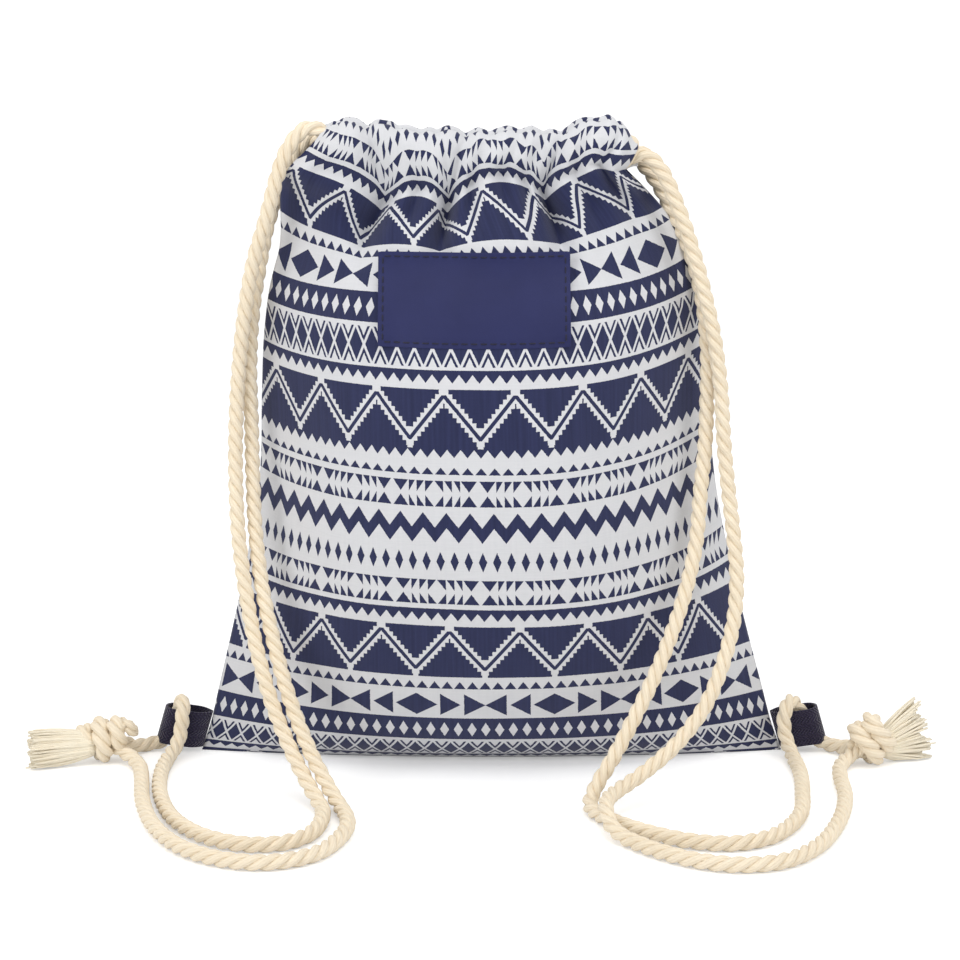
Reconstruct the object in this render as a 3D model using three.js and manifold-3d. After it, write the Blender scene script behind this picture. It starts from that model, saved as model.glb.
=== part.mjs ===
import * as THREE from 'three';
import { mergeVertices } from 'three/addons/utils/BufferGeometryUtils.js';
import Module from 'manifold-3d';

const wasm = await Module();
wasm.setup();

// A drawstring backpack of jacquard cotton, stuffed and standing on its bottom, in millimetres, +Z up.
// The front faces -Y, and the origin is the middle of the bottom seam, on the surface that it stands on.

// Cloth body
const wallThickness = 2;          // cotton with its lining and seam allowance
const panelGap = 0.15;            // from the seam plane to each panel
const cornerHalfWidth = 189;      // bottom corners, which flare out
const hipHalfWidth = 176;         // just above the corners
const waistHalfWidth = 155;       // a third of the way up
const bellyHalfWidth = 145;       // half way up
const shoulderHalfWidth = 136;    // below the gathers
const mouthHalfWidth = 98;        // the gathered channels
const footHalfDepth = 15;         // flat patch that the bag stands on
const bellyHalfDepth = 92;        // fullest depth of the stuffed bag
const wallHeight = 370;           // bottom to the foot of the channels
const lensPower = 2.3;            // fullness of the cross-section
const sideLean = -6;              // the mouth sits a little to the left

// Gathered channels for the ropes
const channelHeight = 36;
const mouthHalfGap = 8.5;         // open slit between the channels, from the middle
const creaseHalfDepth = 8.6;      // channel at a crease
const puffHalfDepth = 12.5;       // channel at a puff
const puffRise = 3;               // how much higher a puff stands than a crease
const puffCount = 5;
const gatherDepth = 7;            // folds that run down from the channel
const gatherReach = 95;           // how far down they fade out
const columns = 32;
const ringSteps = 9;

// Ropes
const ropeDiameter = 9;
const ropeSides = 8;
const ropeSpacing = 11.4;         // between the two ropes that share a channel
const ropeStub = 3;               // how far a rope stands out of its channel
const touchGap = 0.3;

// Webbing tabs in the side seams
const webbingWidth = 25;
const webbingThickness = 1.4;
const tabReach = 31;
const tabHalfDepth = 8;           // the loop held open by the rope
const tabRise = 5;                // lower end of the tab along the seam

// Leather patch
const patchWidth = 117;
const patchHeight = 58;
const patchThickness = 1.3;
const patchCentreX = -11;
const patchCentreZ = 309;
const patchSeat = 0.8;            // from the cloth to the patch
const stitchPitch = 5.8;
const stitchThickness = 0.7;
const stitchInset = 3;            // from the edge of the patch
const stitchSeat = 0.5;           // from the patch to the thread

// Knots and tassels
const knotHalfSize = [15, 13.5, 14.3];
const knotRidge = 0.09;           // how far the wraps stand out, as a share of the knot
const tasselRoot = 8;
const tasselHalfWidth = 14;
const tasselHalfThickness = 7;

const clothMaterial = () => new THREE.MeshStandardMaterial({ color: 0x4b5078, roughness: 0.95 });
const ropeMaterial = () => new THREE.MeshStandardMaterial({ color: 0xebdbc4, roughness: 0.95 });
const leatherMaterial = () => new THREE.MeshStandardMaterial({ color: 0x383b65, roughness: 0.55 });
const webbingMaterial = () => new THREE.MeshStandardMaterial({ color: 0x34313f, roughness: 0.9 });
const threadMaterial = () => new THREE.MeshStandardMaterial({ color: 0x23244a, roughness: 0.8 });

const bag = new THREE.Group();

function addMesh(name, geometry, material) {
  const mesh = new THREE.Mesh(geometry, material);
  mesh.name = name;
  bag.add(mesh);
}

// Welding, joining and cutting
function welded(geometry) {
  const bare = geometry.clone();
  bare.deleteAttribute('normal');
  bare.deleteAttribute('uv');
  return mergeVertices(bare, 1e-4);
}

function solidOf(geometry) {
  const merged = welded(geometry);
  const vertProperties = new Float32Array(merged.attributes.position.array);
  const triVerts = new Uint32Array(merged.index.array);
  return new wasm.Manifold(new wasm.Mesh({ numProp: 3, vertProperties, triVerts }));
}

function geometryOf(solid) {
  const mesh = solid.getMesh();
  const geometry = new THREE.BufferGeometry();
  geometry.setAttribute('position', new THREE.Float32BufferAttribute(Array.from(mesh.vertProperties), 3));
  geometry.setIndex(Array.from(mesh.triVerts));
  return geometry;
}

function geometryFrom(points, faces) {
  const geometry = new THREE.BufferGeometry();
  geometry.setAttribute('position', new THREE.Float32BufferAttribute(points.flat(), 3));
  geometry.setIndex(faces.flat());
  geometry.computeVertexNormals();
  return geometry;
}

// The side profile of one panel, from the bottom seam to the foot of the channel.
// A row holds the height and the half width and half depth of the bag there.
const profile = [
  { z: 0, width: cornerHalfWidth, depth: 0 },
  { z: 0, width: cornerHalfWidth, depth: footHalfDepth },
  { z: 0.024 * wallHeight, width: cornerHalfWidth - 3, depth: 0.37 * bellyHalfDepth },
  { z: 0.056 * wallHeight, width: cornerHalfWidth - 7, depth: 0.55 * bellyHalfDepth },
  { z: 0.12 * wallHeight, width: hipHalfWidth, depth: 0.7 * bellyHalfDepth },
  { z: 0.22 * wallHeight, width: (hipHalfWidth + waistHalfWidth) / 2 + 1, depth: 0.86 * bellyHalfDepth },
  { z: 0.35 * wallHeight, width: waistHalfWidth, depth: 0.98 * bellyHalfDepth },
  { z: 0.5 * wallHeight, width: bellyHalfWidth, depth: bellyHalfDepth },
  { z: 0.64 * wallHeight, width: bellyHalfWidth - 3, depth: 0.94 * bellyHalfDepth },
  { z: 0.75 * wallHeight, width: shoulderHalfWidth + 3, depth: 0.83 * bellyHalfDepth },
  { z: 0.85 * wallHeight, width: shoulderHalfWidth - 2, depth: 0.66 * bellyHalfDepth },
  { z: 0.93 * wallHeight, width: 0.72 * shoulderHalfWidth + 0.28 * mouthHalfWidth, depth: 0.47 * bellyHalfDepth },
];
const channelMiddle = wallHeight + channelHeight / 2;
const leanAt = (z) => (sideLean * z) / wallHeight;
const lens = (u) => 1 - Math.abs(u) ** lensPower;
const puff = (u) => 0.5 - 0.5 * Math.cos(Math.PI * puffCount * (u + 1));

function gatherAt(u, z) {
  const rise = THREE.MathUtils.smoothstep(z, wallHeight - gatherReach, wallHeight);
  return gatherDepth * rise * (puff(u) - 0.5) * Math.sqrt(lens(u));
}

// Slope of the middle profile, as the inward normal of the cloth in the side view
function inwardNormal(row) {
  const below = profile[Math.max(row - 1, 0)];
  const above = profile[Math.min(row + 1, profile.length - 1)];
  const run = new THREE.Vector2(above.depth - below.depth, above.z - below.z).normalize();
  return { depth: run.y, z: run.x };
}

// One vertical section of the front panel: its outer boundary and the tunnel inside its channel
function panelSection(u) {
  const outer = [];
  const inner = [];
  profile.forEach((row, index) => {
    const x = row.width * u + leanAt(row.z);
    if (index === 0) {
      outer.push([x, -panelGap, 0]);
      inner.push([x, -panelGap, wallThickness]);
      return;
    }
    const normal = inwardNormal(index);
    const depth = panelGap + wallThickness + row.depth * lens(u) + gatherAt(u, row.z);
    const insideDepth = depth - wallThickness * (normal.depth * lens(u) + 1 - lens(u));
    const lift = index === 1 ? 1.3 * wallThickness : Math.max(0, normal.z) * wallThickness;
    outer.push([x, -depth, row.z]);
    inner.push([x, -insideDepth, row.z + lift]);
  });
  const halfDepth = THREE.MathUtils.lerp(creaseHalfDepth, puffHalfDepth, puff(u));
  const halfHeight = channelHeight / 2 - puffRise * (1 - puff(u)) / 2;
  const middleX = mouthHalfWidth * u + leanAt(channelMiddle);
  const ring = (shrink) => {
    const points = [];
    for (let k = 0; k <= ringSteps; k += 1) {
      const angle = THREE.MathUtils.degToRad(-60 + (300 * k) / ringSteps);
      const fullness = 0.75;      // between a round and a square tunnel
      const across = Math.sign(Math.cos(angle)) * Math.abs(Math.cos(angle)) ** fullness;
      const up = Math.sign(Math.sin(angle)) * Math.abs(Math.sin(angle)) ** fullness;
      const depth = mouthHalfGap + halfDepth + (halfDepth - shrink) * across;
      points.push([middleX, -depth, channelMiddle + (halfHeight - shrink) * up]);
    }
    return points;
  };
  return { wall: outer, lining: inner, channel: ring(0), tunnel: ring(wallThickness) };
}

function panelGeometry(side) {
  const points = [];
  const faces = [];
  const wallRows = profile.length;
  const ringPoints = ringSteps + 1;
  const loopLength = 2 * wallRows + ringPoints;
  const stride = loopLength + ringPoints;
  for (let column = 0; column <= columns; column += 1) {
    const section = panelSection(-1 + (2 * column) / columns);
    const loop = [...section.wall, ...section.channel, ...section.lining.reverse()];
    [...loop, ...section.tunnel].forEach(([x, y, z]) => points.push([x, y * side, z]));
  }
  const quad = (a, b, c, d) => {
    if (side > 0) {
      faces.push([a, b, c], [a, c, d]);
    } else {
      faces.push([a, c, b], [a, d, c]);
    }
  };
  for (let column = 0; column < columns; column += 1) {
    const here = column * stride;
    const next = here + stride;
    for (let k = 0; k < loopLength; k += 1) {
      const after = (k + 1) % loopLength;
      quad(here + k, next + k, next + after, here + after);
    }
    for (let k = 0; k < ringPoints; k += 1) {
      const after = (k + 1) % ringPoints;
      quad(here + loopLength + after, next + loopLength + after, next + loopLength + k, here + loopLength + k);
    }
  }
  const capEnd = (start, flip) => {
    const face = (a, b, c, d) => (flip ? quad(a, d, c, b) : quad(a, b, c, d));
    const wall = (k) => start + k;
    const lining = (k) => start + loopLength - 1 - k;
    const channel = (k) => start + wallRows + k;
    const tunnel = (k) => start + loopLength + k;
    for (let k = 0; k < wallRows - 1; k += 1) {
      face(wall(k), wall(k + 1), lining(k + 1), lining(k));
    }
    const last = wallRows - 1;
    face(wall(last), channel(0), channel(ringSteps), lining(last));
    face(channel(0), tunnel(0), tunnel(ringSteps), channel(ringSteps));
    for (let k = 0; k < ringSteps; k += 1) {
      face(channel(k), channel(k + 1), tunnel(k + 1), tunnel(k));
    }
  };
  capEnd(0, false);
  capEnd(columns * stride, true);
  return geometryFrom(points, faces);
}

addMesh('front_panel', panelGeometry(1), clothMaterial());
addMesh('back_panel', panelGeometry(-1), clothMaterial());

// Where the cloth of the front lies, for what is sewn on it
function frontDepth(x, z) {
  let index = 1;
  while (index < profile.length - 2 && profile[index + 1].z < z) {
    index += 1;
  }
  const low = profile[index];
  const high = profile[index + 1];
  const share = (z - low.z) / (high.z - low.z);
  const width = THREE.MathUtils.lerp(low.width, high.width, share);
  const u = (x - leanAt(z)) / width;
  const depthAt = (row) => row.depth * lens(u) + gatherAt(u, row.z);
  return panelGap + wallThickness + THREE.MathUtils.lerp(depthAt(low), depthAt(high), share);
}

// A closed sheet that follows the front, between two distances from the cloth
function sheetOnFront(centreX, centreZ, width, height, near, far, across, up) {
  const points = [];
  const faces = [];
  const slope = frontDepth(centreX, centreZ - height / 2) - frontDepth(centreX, centreZ + height / 2);
  const rise = Math.sqrt(height ** 2 - slope ** 2);
  const layer = (across + 1) * (up + 1);
  for (const distance of [near, far]) {
    for (let j = 0; j <= up; j += 1) {
      for (let i = 0; i <= across; i += 1) {
        const x = centreX + width * (i / across - 0.5);
        const z = centreZ + rise * (j / up - 0.5);
        points.push([x, -(frontDepth(x, z) + distance), z]);
      }
    }
  }
  const at = (level, i, j) => level * layer + j * (across + 1) + i;
  const quad = (a, b, c, d) => faces.push([a, b, c], [a, c, d]);
  for (let j = 0; j < up; j += 1) {
    for (let i = 0; i < across; i += 1) {
      quad(at(1, i, j), at(1, i + 1, j), at(1, i + 1, j + 1), at(1, i, j + 1));
      quad(at(0, i, j), at(0, i, j + 1), at(0, i + 1, j + 1), at(0, i + 1, j));
    }
  }
  for (let i = 0; i < across; i += 1) {
    quad(at(0, i, 0), at(0, i + 1, 0), at(1, i + 1, 0), at(1, i, 0));
    quad(at(1, i, up), at(1, i + 1, up), at(0, i + 1, up), at(0, i, up));
  }
  for (let j = 0; j < up; j += 1) {
    quad(at(0, 0, j + 1), at(0, 0, j), at(1, 0, j), at(1, 0, j + 1));
    quad(at(0, across, j), at(0, across, j + 1), at(1, across, j + 1), at(1, across, j));
  }
  return geometryFrom(points, faces);
}

const patchAcross = 12;
const patchUp = 6;
const patchFar = patchSeat + patchThickness;
const patchPlace = [patchCentreX, patchCentreZ, patchWidth, patchHeight];
addMesh('patch', sheetOnFront(...patchPlace, patchSeat, patchFar, patchAcross, patchUp), leatherMaterial());

// One line of thread around the patch, which stands up at each stitch and dips between them
function patchStitches() {
  const halfWidth = patchWidth / 2 - stitchInset;
  const halfHeight = (patchHeight / 2 - stitchInset) * 0.96;
  const acrossCount = Math.round((2 * halfWidth) / stitchPitch);
  const upCount = Math.round((2 * halfHeight) / stitchPitch);
  const corners = [[-1, -1], [1, -1], [1, 1], [-1, 1]];
  const points = [];
  corners.forEach(([cornerX, cornerZ], side) => {
    const [nextX, nextZ] = corners[(side + 1) % 4];
    const count = 2 * (side % 2 ? upCount : acrossCount);
    for (let i = 0; i < count; i += 1) {
      const x = THREE.MathUtils.lerp(cornerX, nextX, i / count);
      const z = THREE.MathUtils.lerp(cornerZ, nextZ, i / count);
      const near = patchFar + stitchSeat;
      const far = near + (i % 2 ? stitchThickness : stitchThickness / 3);
      for (const [edge, distance] of [[-1, near], [1, near], [1, far], [-1, far]]) {
        const placeX = patchCentreX + x * (halfWidth + (edge * stitchThickness) / 2);
        const placeZ = patchCentreZ + z * (halfHeight + (edge * stitchThickness) / 2);
        points.push([placeX, -(frontDepth(placeX, placeZ) + distance), placeZ]);
      }
    }
  });
  const total = points.length / 4;
  const faces = [];
  for (let i = 0; i < total; i += 1) {
    const here = 4 * i;
    const next = 4 * ((i + 1) % total);
    for (let k = 0; k < 4; k += 1) {
      const after = (k + 1) % 4;
      faces.push([here + k, next + after, here + after], [here + k, next + k, next + after]);
    }
  }
  return geometryFrom(points, faces);
}
addMesh('patch_stitching', patchStitches(), threadMaterial());

// Ropes
const vectors = (list) => list.map(([x, y, z]) => new THREE.Vector3(x, y, z));

// A curve that is stepped from one of its own points to the next, so that close bends get more steps
class PointByPointCurve extends THREE.CatmullRomCurve3 {
  getPointAt(share, target) {
    return this.getPoint(share, target);
  }

  getTangentAt(share, target) {
    return this.getTangent(share, target);
  }
}

function ropeAlong(points) {
  const section = new THREE.Shape();
  for (let k = 0; k < ropeSides; k += 1) {
    const angle = (2 * Math.PI * (k + 0.5)) / ropeSides;
    const spot = [(ropeDiameter / 2) * Math.cos(angle), (ropeDiameter / 2) * Math.sin(angle)];
    if (k === 0) {
      section.moveTo(...spot);
    } else {
      section.lineTo(...spot);
    }
  }
  section.closePath();
  const path = new PointByPointCurve(vectors(points), false, 'centripetal');
  const steps = points.length - 1;
  return new THREE.ExtrudeGeometry(section, { steps, bevelEnabled: false, extrudePath: path });
}

// The stretch of each rope that the channels hold: through the front, round the far side and back
const ropeDepth = mouthHalfGap + creaseHalfDepth;
const channelEnd = (side) => side * mouthHalfWidth + leanAt(channelMiddle);
const heldRopeHeights = { left: channelMiddle + ropeSpacing / 2, right: channelMiddle - ropeSpacing / 2 };

function heldRope(side, z) {
  const start = channelEnd(side) + side * ropeStub;
  const turn = channelEnd(-side);
  const points = [];
  const straightSteps = 4;
  const turnSteps = 8;
  for (let k = 0; k < straightSteps; k += 1) {
    points.push([THREE.MathUtils.lerp(start, turn, k / straightSteps), -ropeDepth, z]);
  }
  for (let k = 0; k <= turnSteps; k += 1) {
    const angle = (Math.PI * k) / turnSteps;
    points.push([turn - side * ropeDepth * Math.sin(angle), -ropeDepth * Math.cos(angle), z]);
  }
  for (let k = straightSteps - 1; k >= 0; k -= 1) {
    points.push([THREE.MathUtils.lerp(start, turn, k / straightSteps), ropeDepth, z]);
  }
  return ropeAlong(points);
}
addMesh('left_rope_in_channels', heldRope(-1, heldRopeHeights.left), ropeMaterial());
addMesh('right_rope_in_channels', heldRope(1, heldRopeHeights.right), ropeMaterial());

// Webbing tabs: a folded band that stands square to the side seam, with its fold outwards
const seamRun = profile[4].z - profile[0].z;
const seamTilt = Math.atan2(cornerHalfWidth - hipHalfWidth, seamRun);

function tabOutline(inset) {
  const halfDepth = tabHalfDepth - inset;
  const root = inset;
  const end = tabReach - inset;
  const outline = new THREE.Shape();
  const rootHalf = webbingThickness + 0.2 - 0.8 * inset;
  outline.moveTo(root, -rootHalf);
  outline.quadraticCurveTo(root + 5, -halfDepth, root + 10, -halfDepth);
  outline.lineTo(end - halfDepth, -halfDepth);
  outline.absarc(end - halfDepth, 0, halfDepth, -Math.PI / 2, Math.PI / 2, false);
  outline.lineTo(root + 10, halfDepth);
  outline.quadraticCurveTo(root + 5, halfDepth, root, rootHalf);
  outline.closePath();
  return outline;
}

function tabGeometry(side) {
  const outline = tabOutline(0);
  outline.holes.push(tabOutline(webbingThickness));
  const options = { depth: webbingWidth, bevelEnabled: false, curveSegments: 6 };
  const geometry = new THREE.ExtrudeGeometry(outline, options);
  const seamX = cornerHalfWidth - Math.tan(seamTilt) * tabRise;
  geometry.rotateY(-seamTilt);
  geometry.translate(seamX + touchGap + 0.6, 0, tabRise);
  if (side < 0) {
    geometry.rotateZ(Math.PI);
  }
  return geometry;
}
addMesh('left_tab', tabGeometry(-1), webbingMaterial());
addMesh('right_tab', tabGeometry(1), webbingMaterial());

// Free ropes: points that each one follows, from its channel down beside the bag, along the floor in front
// of it, and to the knot beside its tab. One rope of each pair passes over the tab and down through its loop.
const floorRope = ropeDiameter / 2 + 0.1;
const straightStart = 5;
const exitPoints = (side, depth) => [touchGap, straightStart].map((run) => [
  channelEnd(side) + side * (ropeStub + run), depth, side < 0 ? heldRopeHeights.left : heldRopeHeights.right,
]);
const routes = {
  left_front_rope: [
    ...exitPoints(-1, -ropeDepth),
    [-120, -19, 391], [-128, -21, 381], [-134, -22, 368], [-140, -21, 348], [-148, -20, 322],
    [-154, -20, 290], [-158, -22, 256], [-160, -28, 222], [-160, -36, 188], [-158, -46, 154],
    [-153, -58, 120], [-146, -70, 88], [-136, -83, 57], [-123, -98, 30], [-111, -113, 12],
    [-103, -130, floorRope], [-102, -152, floorRope], [-107, -174, floorRope], [-120, -189, floorRope],
    [-141, -193, floorRope], [-165, -182, floorRope], [-187, -155, floorRope], [-202, -112, floorRope],
    [-208, -66, floorRope], [-207, -34, 6], [-203, -19, 13], [-201, -14.5, 24], [-200, -14, 33],
    [-199.5, -11, 39.5], [-200.5, -5, 42.5], [-202, -1, 39], [-204, 0, 31], [-207, 0, 22], [-210, 0, 12.5],
    [-216, -1, 6], [-224, -4, floorRope], [-231, -10, 6], [-240, -18, 11],
  ],
  left_back_rope: [
    ...exitPoints(-1, ropeDepth),
    [-119, 19.5, 391], [-127, 19, 382], [-133, 15, 367], [-140, 8, 346], [-145, 0, 322],
    [-150, -7, 290], [-152, -13, 256], [-151, -20, 222], [-150, -29, 190], [-148, -40, 156],
    [-143, -54, 122], [-135, -68, 90], [-125, -82, 59], [-112, -98, 31], [-99, -115, 12],
    [-90, -134, floorRope], [-86, -158, floorRope], [-90, -183, floorRope], [-103, -209, floorRope],
    [-127, -222, floorRope], [-153, -218, floorRope], [-178, -200, floorRope], [-199, -165, floorRope],
    [-213, -116, floorRope], [-219, -74, floorRope], [-224, -48, floorRope], [-232, -33, 6.5], [-243, -26, 11],
  ],
  right_front_rope: [
    ...exitPoints(1, -ropeDepth),
    [106, -19, 379], [112, -21, 369], [118, -23, 352], [125, -26, 330], [132, -29, 304],
    [138, -32, 274], [142, -35, 244], [144, -39, 213], [147, -44, 183], [150, -50, 157],
    [152, -57, 130], [150, -64, 105], [143, -75, 81], [131, -87, 56], [112, -100, 35],
    [91, -113, 21], [76, -127, 15.5], [69, -142, 15], [67, -157, 13.8], [70, -171, 8],
    [81, -187, floorRope], [97, -205, floorRope], [118, -220, floorRope], [141, -226, floorRope],
    [165, -220, floorRope], [187, -197, floorRope], [206, -153, floorRope], [216, -108, floorRope],
    [218, -72, floorRope], [221, -50, floorRope], [228, -36, 6.5], [238, -29, 11],
  ],
  right_back_rope: [
    ...exitPoints(1, ropeDepth),
    [107, 18, 379], [114, 17, 367], [122, 13, 349], [131, 3, 327], [136, -12, 301],
    [134, -22, 270], [134, -28, 240], [133, -33, 210], [130, -39, 180], [127, -48, 150],
    [120, -60, 122], [110, -73, 96], [98, -86, 71], [85, -98, 48], [73, -107, 28],
    [63, -114, 13], [59, -124, 6], [62, -137, floorRope], [71, -152, floorRope], [90, -171, floorRope],
    [115, -187, floorRope], [140, -191, floorRope], [163, -179, floorRope], [183, -145, floorRope],
    [193, -98, floorRope], [197, -60, floorRope], [197, -32, 6.5], [196, -19, 14], [195, -14.5, 24],
    [195, -14, 32], [197, -11, 38], [200, -5, 41], [203, -1, 38], [206, 0, 30], [208, 0, 21],
    [210, 0, 12.5], [216, -2, 6], [221, -6, floorRope], [227, -12, 6], [235, -21, 11],
  ],
};

// Knots, each of the two ends of a pair wrapped round each other, with a frayed tassel beyond
const knotPlaces = {
  left: { centre: [-247, -25, knotHalfSize[2]], turn: 0.1, tasselEnd: [-295, -42, 9.5], fan: 0.9 },
  right: { centre: [242, -28, knotHalfSize[2]], turn: -0.5, tasselEnd: [281, -14, 16], fan: 1.15 },
};

function knotGeometry({ centre, turn }, grow = 0) {
  const geometry = new THREE.SphereGeometry(1, 16, 10);
  const spots = geometry.attributes.position;
  const spot = new THREE.Vector3();
  for (let i = 0; i < spots.count; i += 1) {
    spot.fromBufferAttribute(spots, i);
    const wrap = Math.cos(4 * (spot.x * Math.cos(turn) + spot.z * Math.sin(turn)) + 0.6);
    const swell = 1 - knotRidge * (0.5 - 0.5 * wrap);
    const size = knotHalfSize.map((half) => half * swell + grow);
    spots.setXYZ(i, spot.x * size[0], spot.y * size[1], spot.z * size[2]);
  }
  geometry.computeBoundingBox();
  geometry.translate(centre[0], centre[1], 0.02 - geometry.boundingBox.min.z - grow);
  return geometry;
}

function tasselGeometry({ centre, tasselEnd, fan }) {
  const start = new THREE.Vector3(...centre);
  const end = new THREE.Vector3(...tasselEnd);
  const along = end.clone().sub(start).normalize();
  const across = new THREE.Vector3(0, 0, 1).cross(along).normalize();
  const up = along.clone().cross(across);
  const stations = 6;
  const sides = 12;
  const points = [];
  const faces = [];
  for (let s = 0; s <= stations; s += 1) {
    const share = s / stations;
    const middle = start.clone().lerp(end, share);
    const spread = Math.sin((Math.PI / 2) * share);
    const wide = THREE.MathUtils.lerp(tasselRoot, tasselHalfThickness, spread);
    const tall = Math.min(THREE.MathUtils.lerp(tasselRoot, tasselHalfWidth * fan, spread), middle.z - 0.1);
    for (let k = 0; k < sides; k += 1) {
      const angle = (2 * Math.PI * k) / sides;
      const point = middle.clone();
      point.addScaledVector(across, wide * Math.cos(angle));
      point.addScaledVector(up, tall * Math.sin(angle));
      points.push([point.x, point.y, Math.max(point.z, 0.05)]);
    }
  }
  for (let s = 0; s < stations; s += 1) {
    for (let k = 0; k < sides; k += 1) {
      const after = (k + 1) % sides;
      const here = s * sides;
      faces.push([here + k, here + after, here + sides + after]);
      faces.push([here + k, here + sides + after, here + sides + k]);
    }
  }
  for (let k = 1; k < sides - 1; k += 1) {
    faces.push([0, k + 1, k]);
    faces.push([stations * sides, stations * sides + k, stations * sides + k + 1]);
  }
  return geometryFrom(points, faces);
}

for (const [side, place] of Object.entries(knotPlaces)) {
  const clearance = solidOf(knotGeometry(place, touchGap));
  addMesh(`${side}_knot`, knotGeometry(place), ropeMaterial());
  const tassel = solidOf(tasselGeometry(place)).subtract(clearance);
  addMesh(`${side}_tassel`, geometryOf(tassel), ropeMaterial());
  for (const [name, points] of Object.entries(routes).filter(([key]) => key.startsWith(side))) {
    const rope = solidOf(ropeAlong(points)).subtract(clearance);
    addMesh(name, geometryOf(rope), ropeMaterial());
  }
}

export default bag;
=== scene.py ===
import math
import random
import bpy
import bmesh
from mathutils import Matrix, Vector, noise
from mathutils.bvhtree import BVHTree


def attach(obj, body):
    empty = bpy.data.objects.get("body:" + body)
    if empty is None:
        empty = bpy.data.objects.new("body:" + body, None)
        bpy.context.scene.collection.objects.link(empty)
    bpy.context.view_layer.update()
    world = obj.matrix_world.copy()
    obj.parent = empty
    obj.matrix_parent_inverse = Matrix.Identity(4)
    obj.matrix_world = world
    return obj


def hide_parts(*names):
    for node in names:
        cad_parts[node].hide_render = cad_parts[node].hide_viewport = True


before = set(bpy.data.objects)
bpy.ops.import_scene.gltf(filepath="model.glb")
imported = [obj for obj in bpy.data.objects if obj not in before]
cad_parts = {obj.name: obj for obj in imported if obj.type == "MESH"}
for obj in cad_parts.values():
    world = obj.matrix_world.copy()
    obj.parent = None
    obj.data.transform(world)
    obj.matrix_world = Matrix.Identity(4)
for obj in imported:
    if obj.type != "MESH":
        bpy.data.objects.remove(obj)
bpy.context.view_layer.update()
scene = bpy.context.scene
mm = 0.001
fullTurn = 2 * math.pi


def smooth(low, high, value):
    share = min(max((value - low) / (high - low), 0), 1)
    return share * share * (3 - 2 * share)


def mixed(a, b, share):
    return a + (b - a) * share


# Camera at the photograph's angle
cameraSetup = {"place": (-0.0075, -1.6, 0.52), "tilt": 78, "lens": 96}
camera = bpy.data.objects.new("camera", bpy.data.cameras.new("camera"))
scene.collection.objects.link(camera)
camera.location = cameraSetup["place"]
camera.rotation_euler = (math.radians(cameraSetup["tilt"]), 0, 0)
camera.data.lens = cameraSetup["lens"]
camera.data.clip_start = 0.05
scene.camera = camera
print("camera done")


# Shader wiring
class Wire:
    # One output socket that takes part in shader maths

    def __init__(self, finish, socket):
        self.finish = finish
        self.socket = socket

    def maths(self, operation, *others):
        node = self.finish.node("ShaderNodeMath", {"operation": operation}, [self, *others])
        return self.finish.out(node)

    def __add__(self, other):
        return self.maths("ADD", other)

    def __radd__(self, other):
        return self.maths("ADD", other)

    def __sub__(self, other):
        return self.maths("SUBTRACT", other)

    def __rsub__(self, other):
        return self.maths("MULTIPLY", -1).maths("ADD", other)

    def __mul__(self, other):
        return self.maths("MULTIPLY", other)

    def __rmul__(self, other):
        return self.maths("MULTIPLY", other)

    def __truediv__(self, other):
        return self.maths("DIVIDE", other)

    def __mod__(self, other):
        return self.maths("FLOORED_MODULO", other)

    def __gt__(self, other):
        return self.maths("GREATER_THAN", other)

    def __lt__(self, other):
        return self.maths("LESS_THAN", other)

    def __abs__(self):
        return self.maths("ABSOLUTE")

    def floor(self):
        return self.maths("FLOOR")

    def max(self, other):
        return self.maths("MAXIMUM", other)

    def sine(self):
        return self.maths("SINE")

    def within(self, low, high):
        return (self > low) * (self < high)


class Finish:
    # A material and the one way its nodes are made

    def __init__(self, name):
        self.material = bpy.data.materials.new(name)
        self.material.use_nodes = True
        self.tree = self.material.node_tree
        self.tree.nodes.clear()
        self.shader = self.node("ShaderNodeBsdfPrincipled")
        self.node("ShaderNodeOutputMaterial", {}, {"Surface": self.out(self.shader)})

    def node(self, kind, settings=None, inputs=None):
        node = self.tree.nodes.new(kind)
        for name, value in (settings or {}).items():
            setattr(node, name, value)
        pairs = inputs.items() if isinstance(inputs, dict) else enumerate(inputs or [])
        for key, value in pairs:
            self.plug(node.inputs[key], value)
        return node

    def plug(self, socket, value):
        if isinstance(value, Wire):
            self.tree.links.new(value.socket, socket)
        else:
            socket.default_value = value

    def out(self, node, name=0):
        return Wire(self, node.outputs[name])

    def parts(self, vector):
        node = self.node("ShaderNodeSeparateXYZ", {}, [vector])
        return [self.out(node, axis) for axis in "XYZ"]

    def noise(self, scale, detail=2, vector=None, roughness=0.5):
        inputs = {"Scale": scale, "Detail": detail, "Roughness": roughness}
        if vector is not None:
            inputs["Vector"] = vector
        return self.out(self.node("ShaderNodeTexNoise", {}, inputs), "Fac")

    def objectPlace(self):
        return self.out(self.node("ShaderNodeTexCoord"), "Object")

    def flatPlace(self, name):
        return self.out(self.node("ShaderNodeUVMap", {"uv_map": name}), "UV")

    def combined(self, x, y):
        return self.out(self.node("ShaderNodeCombineXYZ", {}, [x, y]))

    def tinted(self, share, low, high):
        node = self.node("ShaderNodeMix", {"data_type": "RGBA"}, {0: share, 6: low, 7: high})
        return self.out(node, 2)

    def bump(self, height, strength, distance):
        inputs = {"Strength": strength, "Distance": distance, "Height": height}
        return self.out(self.node("ShaderNodeBump", {}, inputs))

    def finished(self, **sockets):
        for name, value in sockets.items():
            self.plug(self.shader.inputs[name.replace("_", " ")], value)
        return self.material


def tone(red, green, blue):
    # The linear colour of an ordinary screen colour
    levels = [level / 255 for level in (red, green, blue)]
    linear = [level / 12.92 if level < 0.0404 else ((level + 0.055) / 1.055) ** 2.4 for level in levels]
    return (*linear, 1.0)


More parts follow.
